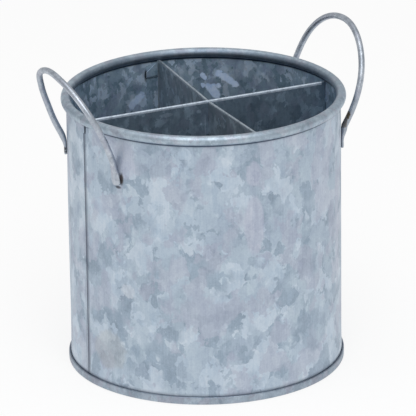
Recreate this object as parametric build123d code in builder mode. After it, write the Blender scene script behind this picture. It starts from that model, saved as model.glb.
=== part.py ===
from build123d import *
import math
import os

# A round caddy of galvanised sheet: one rolled wall with a lock seam and a wired rim,
# a floor pan folded round the wall's foot, two crossed dividers and two wire handles.
# Lengths are in millimetres and angles in degrees. X runs through both handles, Z is up,
# and the origin is on the axis of the body, at the height of the standing edge.

# Sheet and body
sheet = 0.35
fold_gap = 0.05
body_diameter = 150.0
rim_wire_diameter = 4.5
rim_wire_clearance = 0.1
rim_wire_height = 150.85
rim_wire_offset = 0.17
neck_radius = 0.7
curl_end_angle = -88.0

# Lock seam of the wall
seam_azimuth = 184.0
lock_width = 4.0
lock_notch_height = 4.6
lock_floor_clearance = 0.2
butt_gap = 0.2

# Floor pan and its double seam
foot_seam_height = 4.35
floor_height = 3.6
floor_corner_radius = 1.2
foot_wear = 0.03

# Dividers
divider_turn = -2.4
cross_back_azimuth = 81.9
cross_front_azimuth = -90.7
crossing_offset = 2.85
divider_rim_gap = 0.1
divider_floor_gap = 0.1
divider_wall_gap = 0.05
divider_bend_radius = 0.8
flange_width = 8.0
flange_corner_drop = 5.5
flange_root = 1.5
flange_slit_depth = 8.5
flange_slit_height = 0.5
flange_tab_angle = 10.0
hem_width = 1.4
hem_depth = 4.0
hem_pinch_angle = 40.0
long_drop = 0.2
long_hem_inset = 2.5
cross_sag = 0.6
cross_back_rise = 0.6
cross_hem_inset = 0.7
slot_clearance = 0.3
slot_seat_gap = 0.1

# Handles
handle_wire_diameter = 3.2
handle_wall_gap = 0.05
handle_foot_spacing = 63.0
handle_bend_height = 129.85
handle_foot_length = 9.7
handle_foot_splay = 1.05
handle_foot_width = 5.4
handle_foot_thickness = 1.6
handle_press_length = 2.5
handle_bend_run = 3.5
handle_side_angle = 16.8
handle_crown_radius = 34.2
left_lean_angle = 23.2
left_length = 53.9
left_skew_ratio = -0.022
right_lean_angle = 20.2
right_length = 54.5
right_skew_ratio = 0.045

# Sizes that follow from those
pitch = sheet + fold_gap
wall_outer = body_diameter / 2
wall_inner = wall_outer - sheet
wall_mid = wall_outer - sheet / 2
bead_centre_radius = wall_outer + rim_wire_offset
bead_outer = rim_wire_diameter / 2 + rim_wire_clearance + sheet
bead_mid = bead_outer - sheet / 2
neck_reach = bead_mid + neck_radius
neck_centre_radius = wall_mid - neck_radius
neck_run = bead_centre_radius - neck_centre_radius
neck_height = rim_wire_height - math.sqrt(neck_reach**2 - neck_run**2)
lock_top = neck_height - lock_notch_height
lock_bottom = floor_height + lock_floor_clearance
foot_bend_height = 2 * pitch + sheet / 2 - foot_wear
foot_fold_height = foot_seam_height - pitch - sheet / 2
divider_bottom = floor_height + divider_floor_gap
divider_top = neck_height - divider_rim_gap
divider_middle = (divider_bottom + divider_top) / 2
flange_mid = wall_inner - divider_wall_gap - sheet / 2
hem_radius = (hem_width - sheet) / 2
hem_centre = hem_radius + sheet / 2


def polar(radius, azimuth):
    """Point in plan at a radius and an azimuth."""
    angle = math.radians(azimuth)
    return Vector(radius * math.cos(angle), radius * math.sin(angle))


def turn(length, radius):
    """Angle that a length takes on a circle."""
    return math.degrees(length / radius)


# Wall: the lock seam in plan. Layer 0 is the wall itself and layer 3 the innermost.
# One edge of the sheet folds in over the other, so that the two hooks hold each other.
half_groove = 1.5 * pitch
over_azimuth = seam_azimuth - turn(half_groove, wall_mid)
under_azimuth = over_azimuth - turn(lock_width, wall_mid)
over_centre = polar(wall_mid - pitch, over_azimuth)
under_centre = polar(wall_mid - 2 * pitch, under_azimuth)
step_cosine = 1 - (3 * pitch) ** 2 / (2 * (wall_mid - pitch) ** 2)
step_azimuth = over_azimuth + math.degrees(math.acos(step_cosine))
step_centre = polar(wall_mid - pitch, step_azimuth)
step_meet = over_centre + (step_centre - over_centre) * (2 / 3)
tuck_angle = turn(fold_gap, wall_mid)
wall_sweep = 360 - (step_azimuth - over_azimuth)
lock_sweep = over_azimuth - under_azimuth

over_start = polar(wall_mid, over_azimuth)
over_end = polar(wall_mid - 2 * pitch, over_azimuth)
over_side = over_centre + polar(pitch, over_azimuth + 90)
under_start = polar(wall_mid - 3 * pitch, under_azimuth)
under_end = polar(wall_mid - pitch, under_azimuth)
under_side = under_centre + polar(pitch, under_azimuth - 90)
step_start = polar(wall_mid, step_azimuth)
step_low = polar(wall_mid - 3 * pitch, over_azimuth)
step_bend = math.sqrt(0.5)
step_out = polar(pitch, step_azimuth) - polar(pitch, step_azimuth + 90)
step_in = polar(pitch, over_azimuth + 90) - polar(pitch, over_azimuth)
step_upper = step_centre + step_out * step_bend
step_lower = over_centre + step_in * 2 * step_bend

seam_plane = Plane(
    origin=(0, 0, 0),
    x_dir=polar(1, seam_azimuth),
    z_dir=polar(1, seam_azimuth - 90),
).rotated((0, 0, turn(butt_gap / 2, wall_mid)))
ring_sweep = 360 - turn(butt_gap, wall_mid)
neck_scale = neck_radius / neck_reach
neck_join = (
    neck_centre_radius + neck_run * neck_scale,
    neck_height + (rim_wire_height - neck_height) * neck_scale,
)
neck_angle = math.degrees(math.atan2(rim_wire_height - neck_height, neck_run))

with BuildPart() as body_wall:
    with BuildSketch(Plane.XY.offset(foot_bend_height)) as wall_ring:
        with BuildLine():
            CenterArc((0, 0), wall_mid, step_azimuth, wall_sweep)
        trace(line_width=sheet)
    extrude(amount=neck_height - foot_bend_height)
    with BuildSketch(Plane.XY.offset(lock_bottom)) as over_hook:
        with BuildLine():
            ThreePointArc(over_start, over_side, over_end)
            CenterArc((0, 0), wall_mid - 2 * pitch, over_azimuth, tuck_angle - lock_sweep)
        trace(line_width=sheet)
    extrude(amount=lock_top - lock_bottom)
    with BuildSketch(Plane.XY.offset(lock_bottom)) as under_hook:
        with BuildLine():
            ThreePointArc(step_start, step_upper, step_meet)
            ThreePointArc(step_meet, step_lower, step_low)
            CenterArc((0, 0), wall_mid - 3 * pitch, over_azimuth, -lock_sweep)
            ThreePointArc(under_start, under_side, under_end)
            CenterArc((0, 0), wall_mid - pitch, under_azimuth, lock_sweep - tuck_angle)
        trace(line_width=sheet)
    extrude(amount=lock_top - lock_bottom)
    with BuildSketch(seam_plane) as rim_curl:
        with BuildLine():
            CenterArc((neck_centre_radius, neck_height), neck_radius, 0, neck_angle)
            CenterArc(
                (bead_centre_radius, rim_wire_height),
                bead_mid,
                neck_angle - 180,
                curl_end_angle - neck_angle - 180,
            )
        trace(line_width=sheet)
    revolve(axis=Axis.Z, revolution_arc=ring_sweep)
    with BuildSketch(seam_plane) as foot_hook:
        with BuildLine():
            CenterArc((wall_mid + pitch, foot_bend_height), pitch, 180, 180)
            Line(
                (wall_mid + 2 * pitch, foot_bend_height),
                (wall_mid + 2 * pitch, foot_fold_height - fold_gap),
            )
        trace(line_width=sheet)
    revolve(axis=Axis.Z, revolution_arc=ring_sweep)
body_wall.part.label = "body_wall"

with BuildPart() as base_pan:
    with BuildSketch(Plane.XZ) as pan_profile:
        with BuildLine():
            chuck_radius = wall_mid - pitch
            floor_mid = floor_height - sheet / 2
            corner_start = chuck_radius - floor_corner_radius
            Line((0, floor_mid), (corner_start, floor_mid))
            CenterArc(
                (corner_start, floor_mid - floor_corner_radius), floor_corner_radius, 90, -90
            )
            Line(
                (chuck_radius, floor_mid - floor_corner_radius),
                (chuck_radius, foot_bend_height),
            )
            CenterArc((wall_mid + pitch, foot_bend_height), 2 * pitch, 180, 180)
            Line(
                (wall_mid + 3 * pitch, foot_bend_height),
                (wall_mid + 3 * pitch, foot_fold_height),
            )
            CenterArc((wall_mid + 2 * pitch, foot_fold_height), pitch, 0, 180)
            Line(
                (wall_mid + pitch, foot_fold_height),
                (wall_mid + pitch, foot_bend_height),
            )
        trace(line_width=sheet)
    revolve(axis=Axis.Z)
    split(bisect_by=Plane.XY, keep=Keep.TOP)
base_pan.part.label = "base_pan"

with BuildPart() as rim_wire:
    with BuildSketch(Plane.XZ) as wire_section:
        with Locations((bead_centre_radius, rim_wire_height)):
            Circle(rim_wire_diameter / 2)
    revolve(axis=Axis.Z)
rim_wire.part.label = "rim_wire"


def divider_section(ends, middle, flange_length, spring, height):
    """Section of a divider: a web and a flange at each end, both bent to the same side."""
    corners = [polar(flange_mid, azimuth) for azimuth in ends]
    with BuildSketch(Plane.XY.offset(height)) as section:
        with BuildLine() as plan:
            Polyline(corners[0], middle, corners[1])
            for corner, azimuth, way in zip(corners, ends, (1, -1)):
                if spring:
                    heading = azimuth + way * (90 + spring)
                    Line(corner, corner + polar(flange_length, heading))
                else:
                    flange_turn = turn(flange_length, flange_mid)
                    CenterArc((0, 0), flange_mid, azimuth, way * flange_turn)
            folds = [plan.vertices().sort_by_distance(corner)[0] for corner in corners]
            fillet(folds, divider_bend_radius)
        trace(line_width=sheet)
    return section.sketch


def corner_clip(azimuth, way):
    """Sloping cut over the top corner of a flange, down from the fold."""
    beyond = 2 * flange_width
    facing = Plane(
        origin=polar(flange_mid, azimuth),
        x_dir=polar(way, azimuth + 90),
        z_dir=polar(way, azimuth),
    )
    with BuildSketch(facing) as clip:
        with BuildLine():
            Polyline(
                (divider_bend_radius, divider_top + flange_width),
                (divider_bend_radius, divider_top),
                (flange_width, divider_top - flange_corner_drop),
                (beyond, divider_top - flange_corner_drop),
                (beyond, divider_top + flange_width),
                close=True,
            )
        make_face()
    return clip.sketch


def hem_section(facing):
    """Section of a hem: the top edge rolled over to one side and pressed back on the web."""
    pinch = math.radians(hem_pinch_angle)
    roll_end = Vector(hem_radius * (1 + math.cos(pinch)), -hem_centre - hem_radius * math.sin(pinch))
    pressed = roll_end - Vector(1, 1 / math.tan(pinch)) * (roll_end.X - pitch)
    with BuildSketch(facing) as section:
        with BuildLine():
            Line((0, -hem_depth), (0, -hem_centre))
            CenterArc((hem_radius, -hem_centre), hem_radius, 180, -180 - hem_pinch_angle)
            Polyline(roll_end, pressed, (pitch, -hem_depth))
        trace(line_width=sheet)
    return section.sketch


def hem_plane(start, end):
    """Plane across a hem's run, with the roll to the left of the way from start to end."""
    along = (end - start).normalized()
    return Plane(origin=start, x_dir=Vector(-along.Y, along.X).normalized(), z_dir=along)


def over_edge(facing, edge):
    """Everything over a divider's top edge, seen square to its web."""
    with BuildSketch(facing) as above:
        with BuildLine():
            Polyline(
                *edge,
                (edge[-1][0], divider_top + edge_room),
                (edge[0][0], divider_top + edge_room),
                close=True,
            )
        make_face()
    return above.sketch


def crossing_slot(azimuth, height, near, far):
    """Slot at the crossing, from near to far across the other divider of that azimuth."""
    with BuildSketch(Plane.XY.offset(height)) as slot:
        with Locations(crossing + polar((near + far) / 2, azimuth + 90)):
            Rectangle(flange_width, far - near, rotation=azimuth)
    return slot.sketch


def at_height(point, height):
    """Point in plan, lifted to a height."""
    return Vector(point.X, point.Y, height)


crossing = polar(crossing_offset, divider_turn)
long_ends = (divider_turn, divider_turn + 180)
cross_ends = (cross_back_azimuth, cross_front_azimuth)
cross_chord = polar(flange_mid, cross_back_azimuth) - polar(flange_mid, cross_front_azimuth)
cross_turn = math.degrees(math.atan2(cross_chord.Y, cross_chord.X))
long_plane = Plane(
    origin=(0, 0, 0), x_dir=polar(1, divider_turn), z_dir=polar(1, divider_turn - 90)
)
cross_plane = Plane(
    origin=(0, 0, 0), x_dir=polar(1, cross_turn), z_dir=polar(1, cross_turn - 90)
)
edge_room = 2 * flange_width
slot_side = sheet / 2 + slot_clearance

slit_top = divider_top - flange_slit_depth
slit_bottom = slit_top - flange_slit_height
long_top = divider_top - long_drop
cross_low = divider_top - cross_sag
cross_peak = divider_top + cross_back_rise
long_hem_end = flange_mid - long_hem_inset
cross_hem_end = flange_mid - cross_hem_inset

with BuildPart() as divider_long:
    extrude(
        divider_section(long_ends, crossing, flange_width, 0, divider_bottom),
        amount=slit_bottom - divider_bottom,
    )
    extrude(
        divider_section(long_ends, crossing, flange_root, 0, slit_bottom),
        amount=flange_slit_height,
    )
    extrude(
        divider_section(long_ends, crossing, flange_width, flange_tab_angle, slit_top),
        amount=flange_slit_depth,
    )
    for azimuth, way in zip(long_ends, (1, -1)):
        extrude(corner_clip(azimuth, way), amount=edge_room, both=True, mode=Mode.SUBTRACT)
    long_edge = [
        (-wall_outer, long_top),
        (-long_hem_end, long_top),
        (-long_hem_end, long_top - hem_centre),
        (long_hem_end, long_top - hem_centre),
        (long_hem_end, long_top),
        (wall_outer, long_top),
    ]
    extrude(over_edge(long_plane, long_edge), amount=edge_room, both=True, mode=Mode.SUBTRACT)
    hem_start = at_height(polar(-long_hem_end, divider_turn), long_top)
    hem_end = at_height(polar(long_hem_end, divider_turn), long_top)
    extrude(hem_section(hem_plane(hem_start, hem_end)), amount=(hem_end - hem_start).length)
    extrude(
        crossing_slot(cross_turn, divider_bottom, -slot_side, slot_side),
        amount=divider_middle + slot_seat_gap - divider_bottom,
        mode=Mode.SUBTRACT,
    )
divider_long.part.label = "divider_long"

with BuildPart() as divider_cross:
    extrude(
        divider_section(cross_ends, crossing, flange_width, 0, divider_bottom),
        amount=slit_bottom - divider_bottom,
    )
    extrude(
        divider_section(cross_ends, crossing, flange_root, 0, slit_bottom),
        amount=flange_slit_height,
    )
    extrude(
        divider_section(cross_ends, crossing, flange_width, flange_tab_angle, slit_top),
        amount=cross_peak - slit_top,
    )
    for azimuth, way in zip(cross_ends, (1, -1)):
        extrude(corner_clip(azimuth, way), amount=edge_room, both=True, mode=Mode.SUBTRACT)
    cross_edge = [
        (-wall_outer, divider_top),
        (-cross_hem_end, divider_top),
        (-cross_hem_end, divider_top - hem_centre),
        (0, cross_low - hem_centre),
        (cross_hem_end, cross_peak - hem_centre),
        (cross_hem_end, cross_peak),
        (cross_hem_end, divider_top),
        (wall_outer, divider_top),
    ]
    extrude(over_edge(cross_plane, cross_edge), amount=edge_room, both=True, mode=Mode.SUBTRACT)
    middle = at_height(crossing, cross_low)
    back = at_height(polar(cross_hem_end, cross_back_azimuth), cross_peak)
    front = at_height(polar(cross_hem_end, cross_front_azimuth), divider_top)
    for hem_start, hem_end in ((back, middle), (middle, front)):
        extrude(hem_section(hem_plane(hem_start, hem_end)), amount=(hem_end - hem_start).length)
    extrude(
        crossing_slot(divider_turn, divider_middle, -slot_side, hem_width + slot_side - sheet),
        amount=cross_peak - divider_middle,
        mode=Mode.SUBTRACT,
    )
divider_cross.part.label = "divider_cross"

wire_radius = handle_wire_diameter / 2
foot_circle = wall_outer + handle_wall_gap + wire_radius
foot_across = handle_foot_spacing / 2
flare = math.radians(handle_side_angle)
side_start = Vector(foot_across + handle_bend_run * math.sin(flare), handle_bend_run * math.cos(flare))


def bow_side(length):
    """Points up one side of the bow, as across and along: start, half way up, crown arc's end.

    The side is an arc that runs into the crown arc, whose top lies at the given length.
    """
    crown_centre = Vector(0, length - handle_crown_radius)
    inward = Vector(-math.cos(flare), math.sin(flare))
    apart = side_start - crown_centre
    side_radius = (handle_crown_radius**2 - apart.dot(apart)) / (
        2 * (inward.dot(apart) + handle_crown_radius)
    )
    side_centre = side_start + inward * side_radius
    shoulder = crown_centre + (crown_centre - side_centre).normalized() * handle_crown_radius
    half_way = ((side_start - side_centre) + (shoulder - side_centre)).normalized()
    return side_start, side_centre + half_way * side_radius, shoulder


handles = []
for name, direction, lean, length, skew in (
    ("handle_left", -1, left_lean_angle, left_length, left_skew_ratio),
    ("handle_right", 1, right_lean_angle, right_length, right_skew_ratio),
):

    def foot_point(across, drop):
        """Point of the wire's axis where the foot lies along the wall."""
        reach = math.sqrt(foot_circle**2 - across**2)
        return Vector(direction * reach, across, handle_bend_height + skew * across - drop)

    def bow_point(across, along):
        """Point of the bow, which leans out from the feet."""
        base = foot_point(foot_across, 0).X
        out = along * math.sin(math.radians(lean))
        up = along * math.cos(math.radians(lean))
        return Vector(base + direction * out, across, handle_bend_height + skew * across + up)

    with BuildPart() as handle:
        feet = []
        with BuildLine():
            sides = []
            leans = []
            for way in (1, -1):
                corner = foot_point(way * foot_across, 0)
                tip = foot_point(way * (foot_across + handle_foot_splay), handle_foot_length)
                side = [bow_point(way * point.X, point.Y) for point in bow_side(length)]
                down = (tip - corner).normalized()
                foot_start = corner + down * (side[0] - corner).length
                TangentArc(foot_start, side[0], tangent=-down)
                feet.append((foot_start, down))
                sides.append(side)
                leans.append(side[0] - corner)
            Spline(
                *sides[0],
                bow_point(0, length),
                *reversed(sides[1]),
                tangents=(leans[0], -leans[1]),
            )
        with BuildSketch(Plane(origin=feet[0][0], z_dir=feet[0][1])):
            Circle(wire_radius)
        sweep()
        for foot_start, down in feet:
            outward = Vector(foot_start.X, foot_start.Y, 0).normalized()
            along_wall = outward.rotate(Axis.Z, 90)
            press = foot_start + down * handle_press_length
            pad = press - outward * (wire_radius - handle_foot_thickness / 2)
            pad_length = handle_foot_length - handle_bend_run - handle_press_length
            with BuildSketch(Plane(origin=foot_start, x_dir=along_wall, z_dir=down)):
                Circle(wire_radius)
            with BuildSketch(Plane(origin=pad, x_dir=along_wall, z_dir=down)):
                SlotOverall(handle_foot_width, handle_foot_thickness)
            loft()
            with BuildSketch(Plane(origin=pad, x_dir=along_wall, z_dir=down)):
                SlotOverall(handle_foot_width, handle_foot_thickness)
            extrude(amount=pad_length)
    handle.part.label = name
    handles.append(handle)

os.makedirs("parts", exist_ok=True)
for piece in (body_wall, base_pan, rim_wire, divider_long, divider_cross, *handles):
    export_step(piece.part, f"parts/{piece.part.label}.step")
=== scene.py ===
import math

import bpy
from mathutils import Matrix, Vector, noise


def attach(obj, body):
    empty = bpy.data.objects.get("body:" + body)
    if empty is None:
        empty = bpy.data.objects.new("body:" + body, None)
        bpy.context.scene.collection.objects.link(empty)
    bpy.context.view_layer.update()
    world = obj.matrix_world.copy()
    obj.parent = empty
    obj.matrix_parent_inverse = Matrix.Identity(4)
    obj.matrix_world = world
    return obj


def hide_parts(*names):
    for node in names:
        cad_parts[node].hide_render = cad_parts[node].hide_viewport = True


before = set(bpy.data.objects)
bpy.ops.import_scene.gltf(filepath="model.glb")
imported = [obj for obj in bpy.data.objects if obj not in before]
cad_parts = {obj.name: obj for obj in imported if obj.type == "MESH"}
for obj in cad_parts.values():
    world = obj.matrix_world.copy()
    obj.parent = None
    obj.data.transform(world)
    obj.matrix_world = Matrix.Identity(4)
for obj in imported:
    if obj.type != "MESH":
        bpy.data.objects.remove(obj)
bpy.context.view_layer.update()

# Sizes in millimetres and angles in degrees. They are the frame's, apart from the handles' bows.
MM = 0.001
SHEET = 0.35
PITCH = 0.4
GAP = 0.05
WALL_MID = 74.825
WALL_OUTER = 75.0
WALL_INNER = 74.65
SHARP_ANGLE = 50.0

# How finely the shells are divided
WALL_STEPS = 58
CURL_STEPS = 40
PAN_STEPS = 360
WEB_STEPS = 10

# Wired rim: the sheet turns in over a neck and curls round the wire
BEAD_RADIUS = 75.17
BEAD_HEIGHT = 150.85
BEAD_MID = 2.525
NECK_RADIUS = 0.7
NECK_CENTRE = WALL_MID - NECK_RADIUS
NECK_RUN = BEAD_RADIUS - NECK_CENTRE
NECK_HEIGHT = BEAD_HEIGHT - math.sqrt((BEAD_MID + NECK_RADIUS) ** 2 - NECK_RUN**2)
NECK_ANGLE = math.degrees(math.atan2(BEAD_HEIGHT - NECK_HEIGHT, NECK_RUN))
CURL_END = -88.0
CURL_TUCKED = -100.8

# Lock seam of the wall and the open notch over it
SEAM_AZIMUTH = 184.0
LOCK_WIDTH = 4.0
LOCK_LOW = 3.8
LOCK_TOP = NECK_HEIGHT - 4.6
GROOVE_HALF = 0.6
NOTCH_LOW_HALF = 0.5
NOTCH_HALF = 0.95
BUTT_HALF = 0.1
EDGE_REACH = 3.0

# Floor pan, folded round the wall's foot
FLOOR_MID = 3.425
FLOOR_CORNER = 1.2
FOOT_BEND = 0.945
FOOT_FOLD = 3.775

# Dividers
LONG_ENDS = (-2.4, 177.6)
CROSS_ENDS = (81.9, -90.7)
CROSSING = Vector((2.85 * math.cos(math.radians(-2.4)), 2.85 * math.sin(math.radians(-2.4))))
DIVIDER_LOW = 3.7
DIVIDER_TOP = NECK_HEIGHT - 0.1
FLANGE_MID = WALL_INNER - GAP - SHEET / 2
FLANGE_WIDTH = 8.0
FLANGE_ROOT = 1.5
FLANGE_DROP = 5.5
FLANGE_SPRING = 10.0
FOLD_RADIUS = 0.8
SLIT_TOP = DIVIDER_TOP - 8.5
SLIT_LOW = SLIT_TOP - 0.5
# How far below the slit its painted shade fades out
SLIT_SHADE_REACH = 1.2
SLOT_SIDE = SHEET / 2 + 0.3
HEM_WIDTH = 1.4
HEM_DEPTH = 4.0
HEM_PINCH = 40.0
HEM_ROLL = (HEM_WIDTH - SHEET) / 2
HEM_CENTRE = HEM_ROLL + SHEET / 2
LONG_TOP = DIVIDER_TOP - 0.2
LONG_HEM_INSET = 2.5
CROSS_LOW = DIVIDER_TOP - 0.6
CROSS_PEAK = DIVIDER_TOP + 0.6
CROSS_HEM_INSET = 0.8

# Handles: the wire, its feet pressed flat on the wall, and the bow
WIRE_RADIUS = 1.6
WIRE_SIDES = 24
FOOT_CIRCLE = WALL_OUTER + GAP + WIRE_RADIUS
FOOT_ACROSS = 31.5
BEND_HEIGHT = 129.85
FOOT_LENGTH = 9.7
FOOT_SPLAY = 1.05
PAD_HALF_WIDTH = 2.7
PAD_HALF_THICK = 0.8
PAD_SQUARENESS = 0.6
PRESS_LENGTH = 2.5
PRESS_EARLY = 5.0
TIP_LENGTH = 2.0
TIP_SHARE = 0.45
BEND_RUN = 3.5
SIDE_FLARE = 16.8
CROWN_RADIUS = 34.2

# The zinc coats the bow, and the wire is a little broader over its feet
WIRE_COAT = 0.12
FOOT_SPREAD = 0.35
SPREAD_RUN = 30.0

# The handles as they were bent by hand. way is the side of the body. skew lifts the far foot, for
# each millimetre across. narrow is the share by which the near and the far side are drawn in, and
# droop how far the near shoulder hangs. lag is how far the bow is behind its lean: everywhere,
# low down and high up. The runs below say where along the bow, or across it, each one sets in.
HANDLES = {
    "left": {
        "way": -1, "lean": 23.2, "length": 53.3, "skew": -0.022,
        "narrow": (0.04, 0.055), "droop": 0.9, "lag": (0.0, 0.0, -0.1),
    },
    "right": {
        "way": 1, "lean": 20.2, "length": 54.2, "skew": 0.045,
        "narrow": (0.0, 0.0), "droop": -0.5, "lag": (0.9, 2.0, 1.2),
    },
}
LAG_LOW_RUN = (3.0, 24.0)
LAG_HIGH_RUN = (25.0, 50.0)
NARROW_NEAR_RUN = (0.0, -10.0)
NARROW_FAR_RUN = (8.0, 25.0)
SHOULDER_RUN = (36.0, 48.0)
SHOULDER_SPREAD = 1.4
DROOP_ACROSS = (6.0, -12.0)
DROOP_RUN = (20.0, 45.0)

# The photograph's view
CAMERA_AZIMUTH = -117.515
CAMERA_ELEVATION = 20.0833
CAMERA_DISTANCE = 2681.71
CAMERA_TARGET = Vector((1.557, -0.812, 85.554))
CAMERA_ROLL = -0.70685
CAMERA_LENS = 422.743
CAMERA_REACH = 50.0
SENSOR_WIDTH = 36.0

# How strongly painted shade shows in each place, with dirt in the seam, where 1 hides the metal; the webs
# darken towards the bottom
CURL_INNER_SHADE = 0.5
SEAM_DIRT_AND_SHADE = 0.9
LOCK_EDGE_SHADE = 0.3
FOOT_CREASE_SHADE = 0.55
BAND_EDGE_SHADE = 0.4
SLIT_SHADE = 0.8
WEB_LOW_DARKENING = 0.35

# Materials of folded sheet come in threes: front, back and cut edges
MAIN_FACES = 0
SECOND_FACES = 3
FLANGE_FACES = 6


def polar(radius, azimuth):
    """Point in plan at a radius and an azimuth."""
    angle = math.radians(azimuth)
    return Vector((radius * math.cos(angle), radius * math.sin(angle)))


def turn(length, radius=WALL_MID):
    """Angle that a length takes on a circle."""
    return math.degrees(length / radius)


def ease(low, high, value):
    """Smooth step from 0 at low to 1 at high."""
    share = min(max((value - low) / (high - low), 0.0), 1.0)
    return share * share * (3 - 2 * share)


def lerp(low, high, share):
    """Value at a share of the way from low to high."""
    return low + (high - low) * share


def steps(low, high, count):
    """Evenly spaced values from low to high, both ends kept."""
    return [lerp(low, high, index / count) for index in range(count + 1)]


def arc(centre, radius, start, sweep, count):
    """Points along an arc in the plane."""
    return [centre + polar(radius, start + part) for part in steps(0.0, sweep, count)]


def from_seam(azimuth):
    """Azimuth measured from the seam, between -180 and 180."""
    return (azimuth - SEAM_AZIMUTH + 180.0) % 360.0 - 180.0


# Hand-made unevenness: the wall draws in a little here and there, never out
DENT_DEPTH = 0.32
DENT_SPAN = 34.0
DENT_FADE = 16.0


def settled(point):
    """A point in millimetres, moved as the uneven wall beside it is."""
    radius = math.hypot(point.x, point.y)
    if radius < 1e-6:
        return point
    round_wall = Vector((point.x, point.y)) * (WALL_OUTER / radius)
    place = Vector((round_wall.x, round_wall.y, point.z * 0.6)) / DENT_SPAN
    depth = DENT_DEPTH * 0.5 * (noise.noise(place) - 1.0)
    share = min(radius / WALL_OUTER, 1.0)
    share *= ease(0.0, DENT_FADE, point.z) * (1.0 - ease(NECK_HEIGHT, NECK_HEIGHT + DENT_FADE, point.z))
    scale = 1.0 + depth * share / radius
    return Vector((point.x * scale, point.y * scale, point.z))


def build(name, vertices, faces, kinds, materials, shade_and_dirt=None):
    """A mesh object from points in millimetres, with a material index for each face."""
    mesh = bpy.data.meshes.new(name)
    mesh.from_pydata([settled(vertex) * MM for vertex in vertices], [], faces)
    for material in materials:
        mesh.materials.append(material)
    for polygon, kind in zip(mesh.polygons, kinds):
        polygon.material_index = kind
        polygon.use_smooth = True
    if shade_and_dirt:
        layer = mesh.attributes.new("shade_and_dirt", "FLOAT", "POINT")
        layer.data.foreach_set("value", shade_and_dirt)
    piece = bpy.data.objects.new(name, mesh)
    bpy.context.scene.collection.objects.link(piece)
    return piece


def apply_modifiers(piece):
    """Replaces the piece's mesh with the result of its modifiers."""
    bpy.context.view_layer.update()
    graph = bpy.context.evaluated_depsgraph_get()
    mesh = bpy.data.meshes.new_from_object(piece.evaluated_get(graph))
    piece.modifiers.clear()
    piece.data = mesh


def thicken(piece):
    """Gives a mid-surface the sheet's thickness. The back and the cut edges have their own materials."""
    solid = piece.modifiers.new("sheet", "SOLIDIFY")
    solid.thickness = SHEET * MM
    solid.offset = 0.0
    solid.use_even_offset = True
    solid.use_quality_normals = True
    solid.material_offset = 1
    solid.material_offset_rim = 2
    apply_modifiers(piece)
    piece.data.set_sharp_from_angle(angle=math.radians(SHARP_ANGLE))
    for vertex in piece.data.vertices:
        vertex.co.z = max(vertex.co.z, 0.0)


def sheet_grid(name, columns, rows, place, keep, kind, shade_and_dirt, materials):
    """Sheet metal over a grid. place and the painted shade (with dirt in the seam) are asked for each
    point, keep and kind for each face.
    """
    vertices, faces, kinds, shade_and_dirt_values, numbers = [], [], [], [], {}

    def number(column, row):
        if (column, row) not in numbers:
            numbers[column, row] = len(vertices)
            vertices.append(place(column, row))
            shade_and_dirt_values.append(shade_and_dirt(column, row))
        return numbers[column, row]

    for column in range(columns - 1):
        for row in range(rows - 1):
            if keep(column, row):
                beside = column + 1
                corners = ((column, row), (beside, row), (beside, row + 1), (column, row + 1))
                faces.append([number(*corner) for corner in corners])
                kinds.append(kind(column, row))
    piece = build(name, vertices, faces, kinds, materials, shade_and_dirt_values)
    thicken(piece)
    return piece


def rgb(red, green, blue):
    """Linear colour from sRGB values of 0 to 255."""
    def linear(value):
        share = value / 255
        return share / 12.92 if share <= 0.04045 else ((share + 0.055) / 1.055) ** 2.4
    return (linear(red), linear(green), linear(blue), 1.0)


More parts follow.
